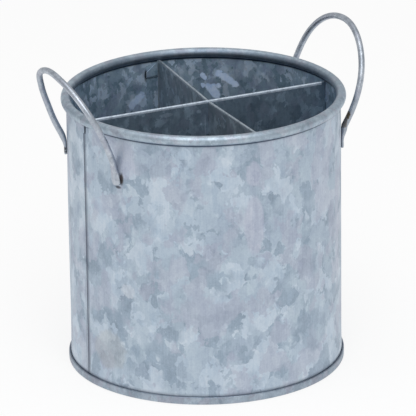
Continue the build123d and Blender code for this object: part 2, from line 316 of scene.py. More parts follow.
class Shade:
    """A procedural material, built node by node. Lengths in it are millimetres."""

    def __init__(self, name):
        self.material = bpy.data.materials.new(name)
        self.material.use_nodes = True
        self.tree = self.material.node_tree
        self.bsdf = self.tree.nodes["Principled BSDF"]
        place = self.add("ShaderNodeTexCoord").outputs["Object"]
        self.place = self.vector("SCALE", place, scale=1 / MM)

    def put(self, socket, value):
        """Links a socket, or sets its constant."""
        if isinstance(value, bpy.types.NodeSocket):
            self.tree.links.new(value, socket)
        else:
            socket.default_value = value

    def add(self, kind, inputs=None, **settings):
        node = self.tree.nodes.new(kind)
        for key, value in settings.items():
            setattr(node, key, value)
        for socket, value in (inputs or {}).items():
            self.put(node.inputs[socket], value)
        return node

    def vector(self, operation, first, second=None, scale=None):
        inputs = {0: first}
        if second is not None:
            inputs[1] = second
        if scale is not None:
            inputs["Scale"] = scale
        return self.add("ShaderNodeVectorMath", inputs, operation=operation).outputs[0]

    def sum(self, operation, first, second, third=None):
        inputs = {0: first, 1: second}
        if third is not None:
            inputs[2] = third
        return self.add("ShaderNodeMath", inputs, operation=operation).outputs[0]

    def noise(self, place, scale, detail=2.0, roughness=0.5):
        """Noise with values round 0.5, and its colour. scale is in cycles a millimetre."""
        inputs = {"Vector": place, "Scale": scale, "Detail": detail, "Roughness": roughness}
        node = self.add("ShaderNodeTexNoise", inputs)
        return node.outputs[0], node.outputs[1]

    def cells(self, place, scale):
        """Three random values for each crystal."""
        node = self.add("ShaderNodeTexVoronoi", {"Vector": place, "Scale": scale})
        split = self.add("ShaderNodeSeparateColor", {0: node.outputs["Color"]})
        return split.outputs

    def shifted(self, place, scale, reach, detail=2.0, roughness=0.5):
        """place moved about by noise, so that edges laid on it are irregular."""
        _, colour = self.noise(place, scale, detail, roughness)
        centred = self.vector("SUBTRACT", colour, (0.5, 0.5, 0.5))
        return self.vector("ADD", place, self.vector("SCALE", centred, scale=reach))

    def ramp(self, value, stops):
        """Colour from a value through two stops of (value, colour)."""
        node = self.add("ShaderNodeValToRGB", {0: value})
        for element, (position, colour) in zip(node.color_ramp.elements, stops):
            element.position = position
            element.color = colour
        return node.outputs[0]

    def step(self, value, low, high):
        """0 below low, 1 above high."""
        inputs = {0: value, 1: low, 2: high, 3: 0.0, 4: 1.0}
        return self.add("ShaderNodeMapRange", inputs, interpolation_type="SMOOTHSTEP").outputs[0]

    def mix(self, share, first, second, blend="MIX"):
        """A share of the second colour over the first."""
        node = self.add("ShaderNodeMix", data_type="RGBA", blend_type=blend)
        self.put(node.inputs[0], share)
        self.put(node.inputs[6], first)
        self.put(node.inputs[7], second)
        return node.outputs[2]

    def attribute(self, name):
        return self.add("ShaderNodeAttribute", attribute_name=name).outputs["Fac"]

    def finish(self, colour, roughness, height, depth, metallic):
        """Ends the material: colour, roughness and a bump of a depth in millimetres."""
        self.put(self.bsdf.inputs["Base Color"], colour)
        self.put(self.bsdf.inputs["Roughness"], roughness)
        self.put(self.bsdf.inputs["Metallic"], metallic)
        inputs = {"Height": height, "Distance": depth * MM, "Strength": 1.0}
        bump = self.add("ShaderNodeBump", inputs)
        self.put(self.bsdf.inputs["Normal"], bump.outputs[0])
        return self.material


# Painted glint, pale patches where zinc crystals catch the light, and how much of the metal's shine it
# hides
PAINTED_GLINT = rgb(186, 207, 236)
GLINT_MATT = 0.9

# Depth of the bumps, in millimetres
GRAIN_DEPTH = 0.012
NICK_DEPTH = 0.02


def galvanised(name, tones, size=1.0, contrast=1.0, metallic=0.7, roughness=(0.4, 0.55), spots=()):
    """Zinc-coated sheet: soft clouds, dark and pale crystals with feathered edges, and a grain.

    size stretches the crystals and contrast sets how strongly they show. spots are ellipsoids of
    another tone: (middle, half lengths, tone, strength, how far the edge frays); some are stains,
    others painted shade, shadow, reflection and glint. Those of the painted glint's tone are matt.
    """
    shade = Shade(name)
    tall = shade.vector("MULTIPLY", shade.place, (1.0 / size, 1.0 / size, 0.8 / size))
    curled = shade.shifted(tall, 0.12, 9.0, 3.0, 0.6)
    frayed = shade.shifted(curled, 0.45, 2.6, 4.0, 0.7)
    cloud, _ = shade.noise(curled, 0.035, 2.0, 0.5)
    crystal = shade.cells(frayed, 0.13)
    flake = shade.cells(shade.shifted(tall, 0.7, 2.0, 4.0, 0.7), 0.3)
    fine, _ = shade.noise(shade.place, 0.9, 4.0, 0.7)
    brushed, _ = shade.noise(shade.vector("MULTIPLY", shade.place, (1.0, 1.0, 0.05)), 1.2, 3.0, 0.6)

    def patches(shift, limit, soft):
        """Patches with a frayed edge on one side and a soft one on the other. A low limit widens them."""
        place = shade.vector("ADD", frayed, shift)
        shape, _ = shade.noise(place, 0.085, 3.0, 0.55)
        shape = shade.sum("MULTIPLY_ADD", crystal[0], 0.09, shape)
        fade, _ = shade.noise(shade.vector("ADD", tall, shift), 0.11, 1.0, 0.5)
        blur = shade.sum("MAXIMUM", shade.sum("MULTIPLY_ADD", fade, -soft, 0.56 * soft), 0.008)
        edge = shade.step(shape, limit, shade.sum("ADD", blur, limit))
        return shade.sum("MULTIPLY", edge, shade.step(fade, 0.28, 0.52))

    colour = shade.mix(shade.step(cloud, 0.3, 0.7), tones["middle"], tones["light"])
    layers = (
        ("dark", (0.0, 0.0, 0.0), 0.56, 0.5, 0.8 * contrast),
        ("dark", (31.0, 57.0, 13.0), 0.58, 0.8, 0.5 * contrast),
        ("pale", (83.0, 19.0, 41.0), 0.56, 0.6, 0.8 * contrast),
        ("tint", (7.0, 91.0, 67.0), 0.56, 1.0, 0.7),
    )
    for key, shift, limit, soft, strength in layers:
        cover = shade.sum("MULTIPLY", patches(shift, limit, soft), strength)
        colour = shade.mix(cover, colour, tones[key])
    glint_cover = 0.0
    for middle, half, tone, strength, fray in spots:
        place = shade.shifted(shade.place, 0.7 / fray, 2 * fray, 4.0, 0.65)
        away = shade.vector("DIVIDE", shade.vector("SUBTRACT", place, middle), half)
        reach = shade.add("ShaderNodeVectorMath", {0: away}, operation="LENGTH").outputs["Value"]
        full = 0.4 if fray < 1 else 0.75
        inside = shade.sum("SUBTRACT", 1.0, shade.step(reach, full, 1.0))
        cover = shade.sum("MULTIPLY", inside, strength)
        colour = shade.mix(cover, colour, tone)
        # Painted glints are made matt
        if tone == PAINTED_GLINT:
            glint_cover = shade.sum("MAXIMUM", cover, glint_cover)
    grey = shade.sum("MULTIPLY_ADD", flake[0], 0.07 * contrast, 0.5 - 0.035 * contrast)
    for value, reach in ((fine, 0.22), (brushed, 0.14), (crystal[1], 0.06)):
        grey = shade.sum("ADD", grey, shade.sum("MULTIPLY_ADD", value, reach, -reach / 2))
    grain = shade.add("ShaderNodeCombineColor", {0: grey, 1: grey, 2: grey}).outputs[0]
    colour = shade.mix(1.0, colour, grain, "OVERLAY")
    # Painted shade, and dirt in the seam, carried on the mesh
    colour = shade.mix(shade.attribute("shade_and_dirt"), colour, tones["shade_and_dirt"])
    rough = shade.sum("MULTIPLY_ADD", crystal[2], roughness[1] - roughness[0], roughness[0])
    height = shade.sum("MULTIPLY_ADD", brushed, 0.5, flake[1])
    if glint_cover:
        metallic = shade.sum("MULTIPLY_ADD", glint_cover, -GLINT_MATT * metallic, metallic)
    return shade.finish(colour, rough, height, GRAIN_DEPTH, metallic)


def cut_edge(name, light, dark):
    """Bright sheared or rubbed metal, with small nicks."""
    shade = Shade(name)
    nick, _ = shade.noise(shade.place, 0.35, 4.0, 0.7)
    fine, _ = shade.noise(shade.place, 2.5, 2.0, 0.5)
    value = shade.sum("MULTIPLY_ADD", fine, 0.3, nick)
    colour = shade.ramp(value, [(0.45, dark), (0.7, light)])
    return shade.finish(colour, shade.sum("MULTIPLY_ADD", fine, 0.2, 0.3), value, NICK_DEPTH, 0.6)


outer_tones = {
    "dark": rgb(148, 165, 182),
    "middle": rgb(173, 188, 203),
    "light": rgb(184, 199, 213),
    "pale": rgb(199, 212, 225),
    "tint": rgb(178, 186, 202),
    "shade_and_dirt": rgb(44, 54, 76),
}
inner_tones = {
    "dark": rgb(138, 164, 184),
    "middle": rgb(162, 188, 208),
    "light": rgb(176, 200, 220),
    "pale": rgb(208, 228, 248),
    "tint": rgb(168, 186, 210),
    "shade_and_dirt": rgb(30, 36, 44),
}
# The dividers' zinc, darkened as painted shade for sitting deep in the body
shaded_divider_tones = {
    "dark": rgb(102, 121, 137),
    "middle": rgb(118, 137, 153),
    "light": rgb(130, 149, 165),
    "pale": rgb(164, 186, 204),
    "tint": rgb(130, 144, 162),
    "shade_and_dirt": rgb(24, 28, 34),
}

# The cross divider's painted-shade tones are the paler and warmer ones of the two
shaded_cross_tones = {
    key: (tone[0] * 1.35, tone[1] * 1.22, tone[2] * 1.12, 1.0)
    for key, tone in shaded_divider_tones.items()
}

# The rim's darkest tone is bluish: painted reflection of the dark inside on the curl's inner half
rim_tones = {
    "dark": rgb(152, 168, 181),
    "middle": rgb(170, 185, 198),
    "light": rgb(180, 195, 207),
    "pale": rgb(196, 209, 220),
    "tint": rgb(174, 181, 194),
    "shade_and_dirt": rgb(50, 72, 98),
}
wire_tones = {
    "dark": rgb(156, 165, 176),
    "middle": rgb(173, 181, 191),
    "light": rgb(184, 192, 202),
    "pale": rgb(204, 211, 220),
    "tint": rgb(174, 179, 192),
    "shade_and_dirt": rgb(92, 80, 62),
}
band_tones = {
    "dark": rgb(134, 148, 163),
    "middle": rgb(149, 163, 177),
    "light": rgb(161, 174, 187),
    "pale": rgb(178, 190, 202),
    "tint": rgb(159, 164, 178),
    "shade_and_dirt": rgb(56, 68, 94),
}

# Stains and patches, some of them painted shade, shadow, glint and reflection
LILAC = rgb(186, 193, 209)
DULL_AND_SHADE = rgb(154, 170, 187)
WARM = rgb(172, 178, 184)
BRIGHT = rgb(206, 214, 224)
BROWN = rgb(96, 86, 64)
RUST_AND_SHADE = rgb(64, 52, 44)
TARNISH_AND_SHADE = rgb(122, 118, 114)
SHADOW_AND_GRIME = rgb(48, 48, 52)
FLAKE = rgb(186, 206, 224)


def smear(start, end, half, strength=1.0, tone=PAINTED_GLINT, fray=1.6):
    """Four spots in a row, for a streak."""
    places = [Vector(start).lerp(Vector(end), share) for share in steps(0.0, 1.0, 3)]
    return [(place, (half, half, half), tone, strength, fray) for place in places]


outer_spots = [
    ((-8.8, -74.5, 101.0), (6.5, 6.5, 19.0), LILAC, 0.8, 2.0),
    ((-9.0, -74.5, 130.0), (5.0, 5.0, 8.0), LILAC, 0.8, 2.0),
    # A pale strip near the right edge: painted reflection
    ((54.0, -52.0, 84.0), (4.0, 4.0, 45.0), LILAC, 0.6, 3.0),
    ((-71.6, -22.3, 24.0), (14.0, 14.0, 12.0), WARM, 0.5, 5.0),
    ((-66.5, -34.5, 136.0), (9.0, 9.0, 13.0), LILAC, 0.6, 4.0),
    ((-65.9, -35.8, 61.0), (5.0, 5.0, 4.0), BRIGHT, 0.7, 3.0),
    # Darker under the rim: painted shade
    ((-57.0, -48.8, 138.0), (13.0, 13.0, 11.0), DULL_AND_SHADE, 0.5, 5.0),
    ((31.1, -68.2, 31.0), (13.0, 13.0, 13.0), DULL_AND_SHADE, 0.5, 5.0),
    # Brown-black at the foot pad's edge: rust and painted shade in the crevice
    ((-67.3, -33.0, 124.6), (1.8, 1.8, 4.6), RUST_AND_SHADE, 0.9, 0.4),
    # Dark arc under the foot's tip: painted shadow
    ((-68.3, -31.0, 119.6), (2.6, 2.6, 1.1), SHADOW_AND_GRIME, 0.8, 0.4),
]
inner_spots = [
    # Pale matt patches on the back wall: painted glints where crystals catch the light
    *smear((42.1, 61.7, 138.6), (49.2, 56.1, 132.9), 2.6),
    *smear((34.4, 66.2, 131.6), (41.6, 62.0, 131.3), 1.7),
    *smear((38.0, 64.3, 130.0), (40.6, 62.7, 126.6), 2.9),
    *smear((34.0, 66.5, 137.6), (35.4, 65.7, 136.1), 1.5),
    *smear((-6.5, 74.4, 124.0), (-0.4, 74.6, 129.0), 2.6, 0.7),
    # Dark line at the tab's free edge: painted shadow in the gap
    ((2.6, 74.6, 140.0), (1.2, 1.2, 5.0), SHADOW_AND_GRIME, 0.9, 0.4),
]
wire_spots = [
    # Dark along the right handle's inner side: a stain and painted shade
    *smear((68.7, -33.2, 132.0), (70.9, -34.1, 138.6), 2.0, 0.9, TARNISH_AND_SHADE, 1.0),
    ((70.9, -34.6, 137.6), (1.2, 1.2, 2.6), BROWN, 0.85, 1.0),
    # Dark on the left handle's far foot, where its pad meets the wall: painted shade
    ((-71.0, 30.0, 123.3), (3.0, 3.0, 1.4), SHADOW_AND_GRIME, 0.9, 0.4),
    ((-71.0, 31.0, 121.4), (4.0, 4.0, 1.2), SHADOW_AND_GRIME, 0.8, 0.4),
]
long_spots = [
    ((-22.5, 0.8, 143.0), (4.5, 2.0, 1.3), FLAKE, 0.35, 1.0),
    ((-3.0, 0.2, 142.0), (1.8, 2.0, 1.4), FLAKE, 0.45, 0.7),
    ((-1.7, 0.1, 134.6), (0.9, 2.0, 0.8), FLAKE, 0.7, 0.6),
    ((0.8, 0.0, 134.0), (0.45, 2.0, 7.5), FLAKE, 0.55, 0.5),
]
cross_spots = [
    *smear((1.9, -18.4, 143.9), (1.7, -22.9, 142.4), 0.9, 0.7, FLAKE, 0.7),
    *smear((2.2, -13.5, 141.1), (2.1, -15.1, 138.0), 0.8, 0.75, FLAKE, 0.7),
    *smear((8.4, 53.1, 137.2), (8.1, 50.2, 135.2), 0.8, 0.7, FLAKE, 0.7),
    *smear((7.4, 44.2, 135.6), (7.2, 42.0, 133.4), 1.2, 0.45, FLAKE, 0.8),
]
outer_sheet = galvanised("outer_sheet", outer_tones, 1.3, 0.9, spots=outer_spots)
inner_sheet = galvanised("inner_sheet", inner_tones, 0.6, 1.3, spots=inner_spots)
long_face = galvanised("long_face", shaded_divider_tones, 0.55, 0.7, spots=long_spots)
cross_face = galvanised("cross_face", shaded_cross_tones, 0.55, 0.7, spots=cross_spots)
rim_sheet = galvanised("rim_sheet", rim_tones, 0.6, 0.6, 0.95, (0.46, 0.55))
wire_coat = galvanised("wire_coat", wire_tones, 0.5, 0.6, 0.95, (0.38, 0.48), wire_spots)
band_sheet = galvanised("band_sheet", band_tones, 0.7, 0.7)
# The long hem is painted near white: rubbed metal and a painted highlight on its roll
hem_rub_and_highlight = cut_edge("hem_rub_and_highlight", rgb(214, 227, 240), rgb(166, 180, 196))
cross_hem = cut_edge("cross_hem", rgb(165, 177, 187), rgb(121, 134, 146))
dull_edge = cut_edge("dull_edge", rgb(140, 148, 158), rgb(96, 104, 114))


# Wall: one sheet, rolled up and hooked to itself, with its foot and rim folded from it
def wall_rows():
    """Mid-line of the wall from its foot hook to the end of the curl: (radius, height, part).

    In the curl the radius is None and the height is the share of the way round it.
    """
    rows = [(WALL_MID + 2 * PITCH, FOOT_FOLD - GAP, "foot")]
    hook = arc(Vector((WALL_MID + PITCH, FOOT_BEND)), PITCH, 0, -180, 6)
    rows += [(point.x, point.y, "foot") for point in hook]
    rows += [(WALL_MID, height, "foot") for height in (2.4, LOCK_LOW - 0.1)]
    rows += [(WALL_MID, height, "wall") for height in steps(LOCK_LOW, LOCK_TOP, WALL_STEPS)]
    rows += [(WALL_MID, height, "notch") for height in steps(LOCK_TOP + 0.1, NECK_HEIGHT - 0.12, 6)]
    neck = arc(Vector((NECK_CENTRE, NECK_HEIGHT)), NECK_RADIUS, 0, NECK_ANGLE, 4)
    rows += [(point.x, point.y, "rim") for point in neck]
    rows += [(None, share, "rim") for share in steps(0.0, 1.0, CURL_STEPS)[1:]]
    return rows


def tucked(azimuth):
    """How far the curl's end is pressed on the wall: by the near handle, but not at the seam."""
    away = from_seam(azimuth)
    pressed = ease(-60.0, -50.0, away) * (1.0 - ease(9.0, 12.0, away))
    return pressed * ease(2.4, 3.4, abs(away))


def curl_angle(azimuth, share):
    """Angle round the wire: 180 on its inner side, 90 on top and 0 outside."""
    return lerp(NECK_ANGLE + 180, lerp(CURL_END, CURL_TUCKED, tucked(azimuth)), share)


WALL_ROWS = wall_rows()


def hook_line(kind):
    """Plan of one of the two hooks of the lock seam, from the wall's edge inwards."""
    over = SEAM_AZIMUTH - turn(1.5 * PITCH)
    under = over - turn(LOCK_WIDTH)
    first = polar(WALL_MID - PITCH, over)
    if kind == "over":
        line = arc(first, PITCH, over, 180, 8)
        inner = arc(Vector((0, 0)), WALL_MID - 2 * PITCH, over, turn(GAP) + under - over, 6)
        return line[1:] + inner[1:]
    cosine = 1 - (3 * PITCH) ** 2 / (2 * (WALL_MID - PITCH) ** 2)
    step = over + math.degrees(math.acos(cosine))
    upper = polar(WALL_MID - PITCH, step)
    last = polar(WALL_MID - 2 * PITCH, under)
    line = [upper + polar(PITCH, step + part) for part in steps(0, 90, 5)[1:]]
    low = [first + polar(2 * PITCH, over + part) for part in steps(90, 180, 7)]
    bottom = arc(Vector((0, 0)), WALL_MID - 3 * PITCH, over, under - over, 6)
    back = arc(last, PITCH, under + 180, 180, 8)
    inner = arc(Vector((0, 0)), WALL_MID - PITCH, under, over - under - turn(GAP), 6)
    return line + low + bottom[1:] + back[1:] + inner[1:]


def wall_columns():
    """Degrees round the wall from the seam, closer together beside it."""
    near = [0.0, 0.25, 0.5, 0.8, 1.2, 1.7, 2.1, 2.4, 2.8, 3.2, 3.6]
    return near + steps(4.0, 356.0, 352) + [360.0 - offset for offset in reversed(near)]


def make_wall():
    over = hook_line("over")
    under = hook_line("under")
    main = wall_columns()
    first, last = len(under), len(under) + len(main)

    def half_gap(row):
        _, height, part = WALL_ROWS[row]
        if part == "wall":
            return GROOVE_HALF
        if part == "notch":
            share = (height - LOCK_TOP) / (NECK_HEIGHT - LOCK_TOP)
            return lerp(NOTCH_LOW_HALF, NOTCH_HALF, share)
        return BUTT_HALF

    def azimuth_at(column, row):
        offset = main[column - first]
        gap = turn(half_gap(row))
        opened = offset + gap * max(1 - offset / EDGE_REACH, 0)
        opened -= gap * max(1 - (360 - offset) / EDGE_REACH, 0)
        return SEAM_AZIMUTH + opened

    def hook_point(column):
        return under[first - 1 - column] if column < first else over[column - last]

    def is_hook(column):
        return not first <= column < last

    def place(column, row):
        radius, height, _ = WALL_ROWS[row]
        if is_hook(column):
            line = hook_point(column)
            return Vector((line.x, line.y, height))
        azimuth = azimuth_at(column, row)
        if radius is None:
            angle = math.radians(curl_angle(azimuth, height))
            radius = BEAD_RADIUS + BEAD_MID * math.cos(angle)
            height = BEAD_HEIGHT + BEAD_MID * math.sin(angle)
        plan = polar(radius, azimuth)
        return Vector((plan.x, plan.y, height))

    def keep(column, row):
        if first <= column < last - 1:
            return True
        return WALL_ROWS[row][2] == "wall" and WALL_ROWS[row + 1][2] == "wall"

    def kind(column, row):
        return SECOND_FACES if WALL_ROWS[row + 1][2] == "rim" else MAIN_FACES

    def shade_and_dirt(column, row):
        """Painted shade under the curl, at its open end, beside the lock and on the wall's foot over the
        band, painted reflection on the curl's inner side, and dirt with painted shade in the seam's
        groove.
        """
        radius, height, part = WALL_ROWS[row]
        # Dirt and painted shade inside the seam's hooks
        if is_hook(column):
            return 1.0 if hook_point(column).length > WALL_MID - 1.2 * PITCH else 0.0
        azimuth = azimuth_at(column, row)
        open_curl = 1.0 - tucked(azimuth)
        if radius is None:
            # Painted reflection of the dark inside on the curl's inner half, and painted shade at the
            # curl's open end
            inner_side = CURL_INNER_SHADE * ease(114.0, 150.0, curl_angle(azimuth, height))
            return max(inner_side, ease(0.86, 0.97, height) * open_curl)
        offset = main[column - first]
        aside = min(offset, 360 - offset) * math.radians(WALL_MID)
        # Dirt and painted shade in the seam's groove
        groove = SEAM_DIRT_AND_SHADE * (1.0 - ease(0.0, 0.5, aside))
        # Painted shade along the lock's hidden edge, fading up the wall
        if offset > 180:
            beside_lock = ease(2.0, 2.8, aside) * (1.0 - ease(3.0, 3.8, aside))
            groove += LOCK_EDGE_SHADE * beside_lock * (1.0 - ease(30, 120, height))
        if part == "rim":
            groove *= 0.3
        # Painted shadow under the curl, and painted shade on the wall's foot over the band
        under_curl = ease(NECK_HEIGHT - 1.0, NECK_HEIGHT, height) * open_curl
        foot = FOOT_CREASE_SHADE * (1.0 - ease(4.3, 5.0, height))
        return min(groove + under_curl + foot, 1.0)

    materials = [outer_sheet, inner_sheet, dull_edge, rim_sheet, rim_sheet, dull_edge]
    columns = last + len(over)
    wall = sheet_grid("wall_shell", columns, len(WALL_ROWS), place, keep, kind, shade_and_dirt, materials)
    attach(wall, "root")
    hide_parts("body_wall")


def make_pan():
    """Floor pan: the floor, its corner, and the band folded over the wall's foot."""
    corner = WALL_MID - PITCH - FLOOR_CORNER
    line = [Vector((radius, FLOOR_MID)) for radius in steps(0.0, corner, 24)]
    line += arc(Vector((corner, FLOOR_MID - FLOOR_CORNER)), FLOOR_CORNER, 90, -90, 6)[1:]
    line += arc(Vector((WALL_MID + PITCH, FOOT_BEND)), 2 * PITCH, 180, 180, 10)
    line += [Vector((WALL_MID + 3 * PITCH, height)) for height in steps(FOOT_BEND, FOOT_FOLD, 5)[1:]]
    line += arc(Vector((WALL_MID + 2 * PITCH, FOOT_FOLD)), PITCH, 0, 180, 8)[1:]
    line += [Vector((WALL_MID + PITCH, height)) for height in steps(FOOT_FOLD, FOOT_BEND, 3)[1:]]
    vertices = [Vector((0, 0, FLOOR_MID))]
    shade_and_dirt = [0.0]
    faces = []
    for column in range(PAN_STEPS):
        azimuth = column * 360 / PAN_STEPS
        for point in line[1:]:
            plan = polar(point.x, azimuth)
            vertices.append(Vector((plan.x, plan.y, point.y)))
            # Painted shade along the band's top fold, in the gap to the wall
            shade_and_dirt.append(BAND_EDGE_SHADE * ease(FOOT_FOLD, FOOT_FOLD + PITCH, point.y))
    depth = len(line) - 1
    for column in range(PAN_STEPS):
        here = 1 + column * depth
        beside = 1 + (column + 1) % PAN_STEPS * depth
        faces.append([0, here, beside])
        for row in range(depth - 1):
            faces.append([beside + row, here + row, here + row + 1, beside + row + 1])
    kinds = [MAIN_FACES] * len(faces)
    materials = [band_sheet, band_sheet, dull_edge]
    pan = build("floor_pan", vertices, faces, kinds, materials, shade_and_dirt)
    thicken(pan)
    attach(pan, "root")
    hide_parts("base_pan")


make_wall()
make_pan()


# Dividers: a web across the body, a flange on the wall at each end and a hem on top
def fold(before, corner, after):
    """The bend at a corner, as an arc's points."""
    to_before = (before - corner).normalized()
    to_after = (after - corner).normalized()
    half = to_before.angle(to_after) / 2
    reach = FOLD_RADIUS / math.tan(half)
    centre = corner + (to_before + to_after).normalized() * (FOLD_RADIUS / math.sin(half))
    start = corner + to_before * reach - centre
    end = corner + to_after * reach - centre
    sweep = start.angle_signed(end)
    return [centre + Matrix.Rotation(-sweep * part, 2) @ start for part in steps(0.0, 1.0, 6)]


# Distances of a flange's points from the corner
FLANGE_SPANS = [FLANGE_WIDTH, 6.0, 4.0, 2.6, FLANGE_ROOT]


def flange(azimuth, way, spring):
    """Points of a flange from its free edge to the fold."""
    corner = polar(FLANGE_MID, azimuth)
    if spring:
        heading = polar(1.0, azimuth + way * (90 + spring))
        return [corner + heading * span for span in FLANGE_SPANS]
    return [polar(FLANGE_MID, azimuth + way * turn(span, FLANGE_MID)) for span in FLANGE_SPANS]


def half_web(azimuth, fold_end, slot, hem_inset):
    """Points from the slot at the crossing out to the fold, and how many of them the hem covers."""
    ray = (fold_end - CROSSING).normalized()
    reach = (fold_end - CROSSING).length
    hem = (polar(FLANGE_MID, azimuth) - CROSSING).length - hem_inset
    covered = [slot] + steps(slot + 1.5, min(hem, reach - 0.1), 20)
    beyond = [hem + 0.3] if hem + 0.4 < reach else []
    return [CROSSING + ray * span for span in covered + beyond], len(covered)


def hem_line():
    """Section of the hem under a top edge: (aside, height), from the web round and down."""
    centre = Vector((HEM_ROLL, -HEM_CENTRE))
    roll = arc(centre, HEM_ROLL, 180, -180 - HEM_PINCH, 14)[1:]
    drop = (roll[-1].x - PITCH) / math.tan(math.radians(HEM_PINCH))
    pressed = Vector((PITCH, roll[-1].y - drop))
    return roll + [pressed, pressed.lerp(Vector((PITCH, -HEM_DEPTH)), 0.5), Vector((PITCH, -HEM_DEPTH))]


def make_divider(name, ends, node, slots, slot_from_top, hem_inset, hem_way, top_height, face, edge):
    """One divider. Its flanges' top tabs, over a slit, spring off the wall a little.

    slots are the slot's half widths in the two halves. hem_way is the side that the hem rolls to.
    """
    plans = []
    for spring in (0, FLANGE_SPRING):
        first, last = (polar(FLANGE_MID, azimuth) for azimuth in ends)
        start = flange(ends[0], 1, spring)
        end = flange(ends[1], -1, spring)
        one = fold(start[-1], first, CROSSING)
        other = fold(end[-1], last, CROSSING)
        near, near_hem = half_web(ends[0], one[-1], slots[0], hem_inset)
        far, far_hem = half_web(ends[1], other[-1], slots[1], hem_inset)
        plans.append(start + one + near[::-1] + [CROSSING] + far + other[::-1] + end[::-1])
    flush, sprung = plans
    count = len(flush)
    middle_column = len(start) + len(one) + len(near)
    hem_first = middle_column - near_hem
    hem_last = middle_column + far_hem
    roll = hem_line()
    middle = (DIVIDER_LOW + DIVIDER_TOP) / 2
    under = steps(DIVIDER_LOW, middle, WEB_STEPS)
    # A row just under the slit, where the slit's painted shade fades out
    under += steps(middle, SLIT_LOW - SLIT_SHADE_REACH, WEB_STEPS)[1:] + [SLIT_LOW]
    over = steps(0.0, 1.0, WEB_STEPS)
    web_rows = len(under) + len(over)

    def is_flange(column):
        return min(column, count - 1 - column) < len(FLANGE_SPANS)

    def is_hem(column):
        return hem_first <= column <= hem_last

    def top(column):
        if is_flange(column):
            span = FLANGE_SPANS[min(column, count - 1 - column)]
            slope = (span - FOLD_RADIUS) / (FLANGE_WIDTH - FOLD_RADIUS)
            return DIVIDER_TOP - FLANGE_DROP * slope
        return top_height(flush[column], column < middle_column)

    def place(column, row):
        if row < len(under):
            plan, height = flush[column], under[row]
        elif row < web_rows:
            plan = sprung[column]
            edge_height = top(column) - (HEM_CENTRE if is_hem(column) else 0.0)
            height = lerp(SLIT_TOP, edge_height, over[row - len(under)])
        else:
            aside, drop = roll[row - web_rows]
            ray = (flush[column] - CROSSING).normalized() if column != middle_column else Vector((0, 0))
            way = hem_way if column < middle_column else -hem_way
            plan = flush[column] + Vector((-ray.y, ray.x)) * (aside * way)
            height = top(column) + drop
        return Vector((plan.x, plan.y, height))

    def keep(column, row):
        beside = column + 1
        slot = column in (middle_column - 1, middle_column)
        if row >= web_rows - 1:
            return is_hem(column) and is_hem(beside) and not (slot and slot_from_top)
        if row == len(under) - 1 and (is_flange(column) or is_flange(beside)):
            return min(column, count - 2 - column) >= len(FLANGE_SPANS) - 1
        if slot:
            return (row < WEB_STEPS) == slot_from_top
        return True

    def kind(column, row):
        if row >= web_rows - 2 and is_hem(column) and is_hem(column + 1):
            return SECOND_FACES
        return FLANGE_FACES if is_flange(column) or is_flange(column + 1) else MAIN_FACES

    def shade_and_dirt(column, row):
        # Painted shade at the flange's slit; the web gets darker towards the bottom
        if is_flange(column) and row in (len(under) - 1, len(under)):
            return SLIT_SHADE
        return WEB_LOW_DARKENING * (1.0 - ease(4.0, 60.0, place(column, row).z))

    materials = [face, face, hem_rub_and_highlight, edge, edge, edge, inner_sheet, inner_sheet, hem_rub_and_highlight]
    rows = web_rows + len(roll)
    piece = sheet_grid(name, count, rows, place, keep, kind, shade_and_dirt, materials)
    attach(piece, "root")
    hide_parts(node)


def long_top(*_):
    """Top of the long divider, which is level."""
    return LONG_TOP


def cross_top(point, first_half):
    """Top of the cross divider, lowest at the crossing and highest at the back wall."""
    share = min((point - CROSSING).length / (FLANGE_MID - HEM_WIDTH), 1.0)
    return lerp(CROSS_LOW, CROSS_PEAK if first_half else DIVIDER_TOP, share)


wide_slot = HEM_WIDTH + SLOT_SIDE - SHEET
make_divider(
    "long_divider", LONG_ENDS, "divider_long", (SLOT_SIDE, SLOT_SIDE), False,
    LONG_HEM_INSET, 1, long_top, long_face, hem_rub_and_highlight,
)
make_divider(
    "cross_divider", CROSS_ENDS, "divider_cross", (wide_slot, SLOT_SIDE), True,
    CROSS_HEM_INSET, -1, cross_top, cross_face, cross_hem,
)


# Handles: one wire each, bent to a bow, with both ends pressed flat on the wall
def bow_line(length):
    """One side of a bow, across and along: an arc from the foot's bend, and half the crown."""
    flare = math.radians(SIDE_FLARE)
    start = Vector((FOOT_ACROSS + BEND_RUN * math.sin(flare), BEND_RUN * math.cos(flare)))
    inward = Vector((-math.cos(flare), math.sin(flare)))
    crown = Vector((0.0, length - CROWN_RADIUS))
    apart = start - crown
    radius = (CROWN_RADIUS**2 - apart.dot(apart)) / (2 * (inward.dot(apart) + CROWN_RADIUS))
    side = start + inward * radius
    meet = math.degrees(math.atan2(crown.y - side.y, crown.x - side.x))
    line = arc(side, radius, -SIDE_FLARE, meet + SIDE_FLARE, 24)
    return line + arc(crown, CROWN_RADIUS, meet, 90 - meet, 40)[1:]


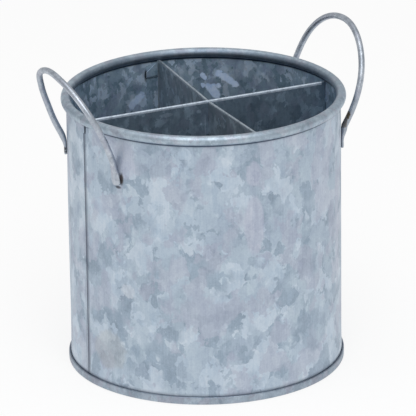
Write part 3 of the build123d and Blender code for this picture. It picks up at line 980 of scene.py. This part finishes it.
def handle_half(form, side):
    """Stations of half a handle from its foot's tip to the crown: point, pressed, radial, to tip.

    pressed, radial and to tip say how flat the wire is, how far it is turned to face the wall, and
    how far it is from its end. The near side is the one with a negative across.
    """
    way, skew = form["way"], form["skew"]
    lean = math.radians(form["lean"])
    narrow_near, narrow_far = form["narrow"]
    lag_all, lag_low, lag_high = form["lag"]

    def foot_point(across, drop):
        reach = math.sqrt(FOOT_CIRCLE**2 - across**2)
        return Vector((way * reach, across, BEND_HEIGHT + skew * across - drop))

    def bow_point(across, along):
        base = foot_point(FOOT_ACROSS, 0).x
        lag = lag_all + lag_low * (1.0 - ease(*LAG_LOW_RUN, along)) + lag_high * ease(*LAG_HIGH_RUN, along)
        out = way * max(along - lag, 0.0) * math.sin(lean)
        if across < 0:
            narrow = narrow_near * ease(*NARROW_NEAR_RUN, across)
        else:
            narrow = narrow_far * ease(*NARROW_FAR_RUN, along)
            narrow *= 1.0 - SHOULDER_SPREAD * ease(*SHOULDER_RUN, along)
        droop = form["droop"] * ease(*DROOP_ACROSS, across) * ease(*DROOP_RUN, along)
        up = (along - droop) * math.cos(lean)
        return Vector((base + out, across * (1.0 - narrow), BEND_HEIGHT + skew * across + up))

    foot_across = FOOT_ACROSS * (1.0 - narrow_near) if side < 0 else FOOT_ACROSS
    corner = foot_point(side * foot_across, 0)
    tip = foot_point(side * (foot_across + FOOT_SPLAY), FOOT_LENGTH)
    bow = [bow_point(side * point.x, point.y) for point in bow_line(form["length"])]
    down = (tip - corner).normalized()
    foot_start = corner + down * BEND_RUN
    radial = Vector((foot_start.x, foot_start.y, 0)).normalized()
    inset = WIRE_RADIUS - PAD_HALF_THICK
    pad_end = FOOT_LENGTH - BEND_RUN
    stations = []
    pad = steps(pad_end - 0.5, PRESS_LENGTH, 8) + steps(PRESS_LENGTH, 0.0, 8)[1:-1]
    for span in [pad_end - 0.02, *pad]:
        pressed = ease(-PRESS_EARLY, PRESS_LENGTH, span)
        point = foot_start + down * span - radial * inset * pressed
        stations.append((point, pressed, 1.0, pad_end - span))
    for share in steps(0.0, 1.0, 12)[:-1]:
        pressed = ease(-PRESS_EARLY, PRESS_LENGTH, -2 * BEND_RUN * share)
        point = foot_start.lerp(corner, share).lerp(corner.lerp(bow[0], share), share)
        stations.append((point - radial * inset * pressed, pressed, 1.0 - share, FOOT_LENGTH))
    stations += [(point, 0.0, 0.0, FOOT_LENGTH) for point in bow]
    return stations, radial


def make_handle(name, form, node):
    """A bow of wire, swept as rings round its line."""
    near, near_radial = handle_half(form, -1)
    far, far_radial = handle_half(form, 1)
    line = near + far[::-1][1:]
    gaps = [(after[0] - before[0]).length for before, after in zip(near, near[1:])]
    outward = Vector((form["way"], 0, 0))
    vertices, faces = [], []
    for index, (point, pressed, foot, to_tip) in enumerate(line):
        along_wire = sum(gaps[:min(index, len(line) - 1 - index)])
        before = line[max(index - 1, 0)][0]
        after = line[min(index + 1, len(line) - 1)][0]
        along = (after - before).normalized()
        radial = near_radial if index < len(near) else far_radial
        facing = outward.lerp(radial, foot)
        thin = (facing - along * facing.dot(along)).normalized()
        wide = along.cross(thin)
        tip = min(to_tip / TIP_LENGTH, 1.0)
        rounded = lerp(TIP_SHARE, 1.0, math.sqrt(1.0 - (1.0 - tip) ** 2))
        spread = FOOT_SPREAD * (1.0 - ease(0.0, SPREAD_RUN, along_wire)) * (1.0 - pressed)
        half_wide = (lerp(WIRE_RADIUS + WIRE_COAT, PAD_HALF_WIDTH, pressed) + spread) * rounded
        half_thin = lerp(WIRE_RADIUS, PAD_HALF_THICK, pressed) * lerp(1.0, rounded, 0.5)
        half_thin += WIRE_COAT * (1.0 - foot)
        power = lerp(1.0, PAD_SQUARENESS, pressed)
        for side in range(WIRE_SIDES):
            angle = 2 * math.pi * side / WIRE_SIDES
            cosine, sine = math.cos(angle), math.sin(angle)
            across = math.copysign(abs(cosine) ** power, cosine) * half_wide
            out = math.copysign(abs(sine) ** power, sine) * half_thin
            vertices.append(point + wide * across + thin * out)
    last = len(vertices) - WIRE_SIDES
    for low in range(0, last, WIRE_SIDES):
        high = low + WIRE_SIDES
        for side in range(WIRE_SIDES):
            beside = (side + 1) % WIRE_SIDES
            faces.append([low + side, low + beside, high + beside, high + side])
    faces.append(list(range(WIRE_SIDES))[::-1])
    faces.append(list(range(last, last + WIRE_SIDES)))
    piece = build(name, vertices, faces, [0] * len(faces), [wire_coat])
    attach(piece, "root")
    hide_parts(node)


for side_name, form in HANDLES.items():
    make_handle(f"handle_wire_{side_name}", form, f"handle_{side_name}")

# The rim's wire is the CAD's own, seen only through the hairline where the curl's ends meet
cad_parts["rim_wire"].data.materials.clear()
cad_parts["rim_wire"].data.materials.append(wire_coat)


# Floor, light and camera. Lengths are metres here.
FLOOR_HALF = 12.0
FLOOR_DROP = 0.0001
FLOOR_TONE = (0.97, 0.97, 0.97, 1.0)
FLOOR_ROUGHNESS = 0.9
FLOOR_WHITE = 0.8
WHITE = (1.0, 1.0, 1.0, 1.0)
WORLD_STRENGTH = 0.58
OBJECT_MIDDLE = Vector((0.0, 0.0, 0.08))


def make_floor():
    """A pale floor. It looks white to the camera and keeps part of the object's shadow."""
    mesh = bpy.data.meshes.new("floor")
    low, high = -FLOOR_HALF, FLOOR_HALF
    corners = [(low, low, 0), (high, low, 0), (high, high, 0), (low, high, 0)]
    mesh.from_pydata(corners, [], [(0, 1, 2, 3)])
    floor = bpy.data.objects.new("floor", mesh)
    floor.location.z = -FLOOR_DROP
    bpy.context.scene.collection.objects.link(floor)
    material = bpy.data.materials.new("floor")
    material.use_nodes = True
    tree = material.node_tree
    bsdf = tree.nodes["Principled BSDF"]
    bsdf.inputs["Base Color"].default_value = FLOOR_TONE
    bsdf.inputs["Roughness"].default_value = FLOOR_ROUGHNESS
    bsdf.inputs["Specular IOR Level"].default_value = 0.0
    path = tree.nodes.new("ShaderNodeLightPath")

    def math_node(operation, first):
        node = tree.nodes.new("ShaderNodeMath")
        node.operation = operation
        tree.links.new(first, node.inputs[0])
        return node

    seen = math_node("MAXIMUM", path.outputs["Is Camera Ray"])
    tree.links.new(path.outputs["Is Glossy Ray"], seen.inputs[1])
    either = math_node("MAXIMUM", seen.outputs[0])
    tree.links.new(path.outputs["Is Transmission Ray"], either.inputs[1])
    share = math_node("MULTIPLY", either.outputs[0])
    share.inputs[1].default_value = FLOOR_WHITE
    white = tree.nodes.new("ShaderNodeEmission")
    white.inputs["Strength"].default_value = 1.0
    blend = tree.nodes.new("ShaderNodeMixShader")
    tree.links.new(share.outputs[0], blend.inputs[0])
    tree.links.new(bsdf.outputs[0], blend.inputs[1])
    tree.links.new(white.outputs[0], blend.inputs[2])
    tree.links.new(blend.outputs[0], tree.nodes["Material Output"].inputs["Surface"])
    mesh.materials.append(material)


def area_light(name, azimuth, elevation, distance, size, radiance):
    """A square soft box that faces the object. radiance is what its face shows, where 1 is white."""
    data = bpy.data.lights.new(name, "AREA")
    data.shape = "SQUARE"
    data.size = size
    data.energy = radiance * math.pi * size * size
    tilt = math.radians(elevation)
    flat = polar(distance * math.cos(tilt), azimuth)
    away = Vector((flat.x, flat.y, distance * math.sin(tilt)))
    lamp = bpy.data.objects.new(name, data)
    lamp.location = OBJECT_MIDDLE + away
    lamp.rotation_mode = "QUATERNION"
    lamp.rotation_quaternion = (-away).to_track_quat("-Z", "Y")
    bpy.context.scene.collection.objects.link(lamp)


def make_lights():
    """Even light from all round, a large soft box near the camera and a weaker one overhead."""
    world = bpy.data.worlds.new("studio")
    world.use_nodes = True
    background = world.node_tree.nodes["Background"]
    background.inputs["Color"].default_value = WHITE
    background.inputs["Strength"].default_value = WORLD_STRENGTH
    bpy.context.scene.world = world
    area_light("front", CAMERA_AZIMUTH + 6, elevation=50, distance=2.4, size=1.5, radiance=2.8)
    area_light("top", CAMERA_AZIMUTH - 30, elevation=80, distance=2.2, size=1.6, radiance=1.2)


def make_camera():
    """The photograph's view: place, direction and a slight roll."""
    data = bpy.data.cameras.new("photo_view")
    data.sensor_width = SENSOR_WIDTH
    data.lens = CAMERA_LENS
    data.clip_end = CAMERA_REACH
    camera = bpy.data.objects.new("photo_view", data)
    elevation = math.radians(CAMERA_ELEVATION)
    flat = polar(math.cos(elevation), CAMERA_AZIMUTH)
    back = Vector((flat.x, flat.y, math.sin(elevation)))
    level = Vector((0, 0, 1)).cross(back).normalized()
    upright = back.cross(level)
    roll = math.radians(CAMERA_ROLL)
    right = level * math.cos(roll) + upright * math.sin(roll)
    up = upright * math.cos(roll) - level * math.sin(roll)
    place = (CAMERA_TARGET + back * CAMERA_DISTANCE) * MM
    turned = Matrix((right, up, back)).transposed().to_4x4()
    camera.matrix_world = Matrix.Translation(place) @ turned
    bpy.context.scene.collection.objects.link(camera)
    bpy.context.scene.camera = camera


make_floor()
make_lights()
make_camera()
bpy.context.scene.view_settings.view_transform = "Standard"
